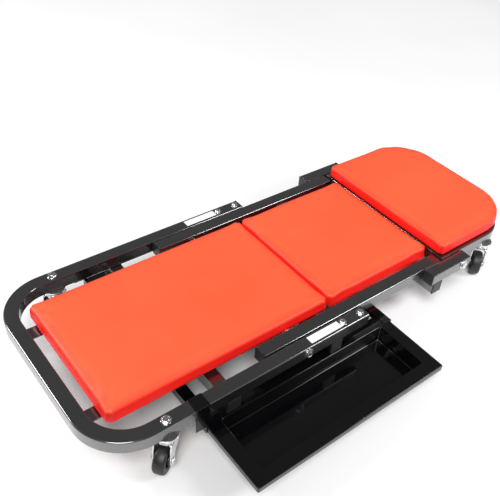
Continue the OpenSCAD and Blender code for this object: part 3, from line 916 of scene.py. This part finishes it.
def settle(obj, shape, z0, z1, crown, flare, reach=0.022):
    """Brings the swollen pad to its finished outline and height, keeping the cover's own softness.

    The form is moved outward near its edge, by how far it stands in from the outline at each edge point.
    The bottom of each long side flares outward.
    """
    points, out = edge_walk(shape)
    n = len(points)
    near, depth = [], []
    far = 1.0
    low = [far] * n
    for v in obj.data.vertices:
        p = Vector((v.co.x, v.co.y, 0))
        k = min(range(n), key=lambda i: (points[i] - p).length_squared)
        d = (points[k] - p).dot(out[k])
        near.append(k)
        depth.append(d)
        low[k] = min(low[k], d)
    known = [i for i in range(n) if low[i] < far]
    low = [low[i] if low[i] < far else low[min(known, key=lambda j: min(abs(i - j), n - abs(i - j)))]
           for i in range(n)]
    low = [min(low[i - 1], low[i], low[(i + 1) % n]) for i in range(n)]
    for _ in range(3):
        low = [(low[i - 1] + 2 * low[i] + low[(i + 1) % n]) / 4 for i in range(n)]
    for v, k, d in zip(obj.data.vertices, near, depth):
        fade = min(1.0, max(0.0, 1 - (d - low[k]) / reach))
        v.co += out[k] * (low[k] - 0.0002) * fade * fade * (3 - 2 * fade)
    zs = [v.co.z for v in obj.data.vertices]
    a, b = min(zs), max(zs)
    for v, k, d in zip(obj.data.vertices, near, depth):
        up = (v.co.z - a) / (b - a)
        fade = min(1.0, max(0.0, 1 - (d - low[k]) / reach))
        v.co += out[k] * flare * abs(out[k].y) ** 3 * (1 - up) ** 2 * fade
        v.co.z = z0 / 1000 + up * ((z1 + crown) - z0) / 1000


def pleat(obj, x, y, sx, sy):
    """A narrow tucked fold in the cover at a square corner."""
    c = at(x, y, 0)
    along = Vector((sx, sy, 0)).normalized()
    across = Vector((-along.y, along.x, 0))
    for v in obj.data.vertices:
        d = Vector((v.co.x - c.x, v.co.y - c.y, 0))
        out, side = d.dot(along), d.dot(across)
        if out > -0.02 and abs(side) < 0.012:
            pull = math.exp(-(side / 0.0024) ** 2) * min(1, (out + 0.02) / 0.010)
            v.co -= along * pull * 0.0018


def cushion(name, node, body, shape, z0, z1, corners, look, flare):
    """A pad with a sewn vinyl cover: formed, swollen over its board, then tucked at its square corners."""
    obj = pad_form(name, shape, z0, z1, PAD_SOFT, PAD_EDGE)
    with_modifier(obj, "REMESH", mode="VOXEL", voxel_size=VOXEL)
    swell(obj, z0 / 1000, CLOTH_CAP, 4.0)
    with_modifier(obj, "SMOOTH", factor=0.5, iterations=1)
    settle(obj, shape, z0, z1, CROWN, flare / 1000)
    with_modifier(obj, "SUBSURF", levels=1, render_levels=1)
    for corner in corners:
        pleat(obj, *corner)
    for p in obj.data.polygons:
        p.use_smooth = True
    obj.data.materials.append(look)
    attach(obj, body)
    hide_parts(node)


def square_corners(x0, x1, half):
    """The four corners of a pad, each with its outward direction; the foot end comes first."""
    return [(x0, -half, -1, -1), (x0, half, -1, 1), (x1, -half, 1, -1), (x1, half, 1, 1)]


# Foot end, head end, half width, and the corner radius at either end.
FOOT_SHAPE = (0.3, 433.2, 136.5, 4, 4)
MIDDLE_SHAPE = (434.6, 696.4, 135, 4, 4)
HEAD_SHAPE = (699.6, 934, 165, 5, 90)
cushion("foot_cushion", "foot_pad", "base", FOOT_SHAPE, 81.5, 109.5,
        square_corners(*FOOT_SHAPE[:3]), LOOK["vinyl"], 0.8)
cushion("middle_cushion", "mid_pad", "middle", MIDDLE_SHAPE, 80, 109.5,
        square_corners(*MIDDLE_SHAPE[:3]), LOOK["vinyl"], 3.0)
cushion("head_cushion", "head_pad", "head", HEAD_SHAPE, 100.6, 128.5,
        square_corners(*HEAD_SHAPE[:3])[:2], HEAD_VINYL, 0.5)

# ------------------------------------------------------------------ stage

def floor():
    """A large white floor, half a millimetre under the wheels."""
    mat, shader = new_material("floor_white")
    cloud = texture(mat, "ShaderNodeTexNoise", 1.5, Detail=2)
    tone = ramp(mat, cloud.outputs[0], [(0.4, grey(0.93)), (0.6, grey(0.96))])
    join(mat, tone.outputs[0], shader.inputs["Base Color"])
    shader.inputs["Roughness"].default_value = 0.8
    shader.inputs["Specular IOR Level"].default_value = 0.2
    mesh = bpy.data.meshes.new("floor")
    half = 40.0
    corners = [(-half, -half, 0), (half, -half, 0), (half, half, 0), (-half, half, 0)]
    mesh.from_pydata(corners, [], [(0, 1, 2, 3)])
    obj = bpy.data.objects.new("floor", mesh)
    obj.location.z = -0.0005
    mesh.materials.append(mat)
    bpy.context.scene.collection.objects.link(obj)


def light(name, place, aim, size, power):
    """A rectangular lamp in one place, aimed at another."""
    data = bpy.data.lights.new(name, "AREA")
    data.shape = "RECTANGLE"
    data.size, data.size_y = size
    data.energy = power
    obj = bpy.data.objects.new(name, data)
    obj.location = place
    obj.rotation_euler = (Vector(aim) - Vector(place)).to_track_quat("-Z", "Y").to_euler()
    bpy.context.scene.collection.objects.link(obj)


def sun(name, toward, strength, spread):
    """Sunlight that comes from a direction, softened by a spread in degrees."""
    data = bpy.data.lights.new(name, "SUN")
    data.energy = strength
    data.angle = math.radians(spread)
    obj = bpy.data.objects.new(name, data)
    obj.rotation_euler = Vector(toward).to_track_quat("Z", "Y").to_euler()
    bpy.context.scene.collection.objects.link(obj)


def camera():
    """Angle, distance and lens that show the creeper as it is seen lying flat."""
    az, el, roll = math.radians(CAM["az"]), math.radians(CAM["el"]), math.radians(CAM["roll"])
    back = Vector((math.sin(az) * math.cos(el), -math.cos(az) * math.cos(el), math.sin(el)))
    right = Vector((math.cos(az), math.sin(az), 0))
    up = back.cross(right)
    x = right * math.cos(roll) + up * math.sin(roll)
    y = up * math.cos(roll) - right * math.sin(roll)
    data = bpy.data.cameras.new("camera")
    data.lens = CAM["lens"]
    data.sensor_width = 36
    data.sensor_fit = "HORIZONTAL"
    data.shift_x, data.shift_y = CAM["shift"]
    data.clip_start = 0.05
    data.clip_end = 120
    obj = bpy.data.objects.new("camera", data)
    m = Matrix((x, y, back)).transposed().to_4x4()
    m.translation = Vector(CAM["place"])
    obj.matrix_world = m
    bpy.context.scene.collection.objects.link(obj)
    bpy.context.scene.camera = obj


CAM = {
    "az": -43.459, "el": 38.062, "roll": 6.718, "lens": 51.273,
    "shift": (-0.075, -0.031), "place": (-0.7087, -0.6828, 0.9647),
}

floor()
sun("key", (-0.5, -0.5, 1.0), 2.45, 30)
light("edge_foot", (-1.36, 1.26, 1.19), (0, 0, 0.1), (0.6, 0.5), 20)
light("edge_side", (1.19, -1.36, 1.26), (0, 0, 0.1), (0.6, 0.5), 18)
world = bpy.data.worlds.new("studio")
world.use_nodes = True
world.node_tree.nodes["Background"].inputs[0].default_value = (1, 1, 1, 1)
world.node_tree.nodes["Background"].inputs[1].default_value = 0.17
bpy.context.scene.world = world
bpy.context.scene.view_settings.view_transform = "Standard"
camera()
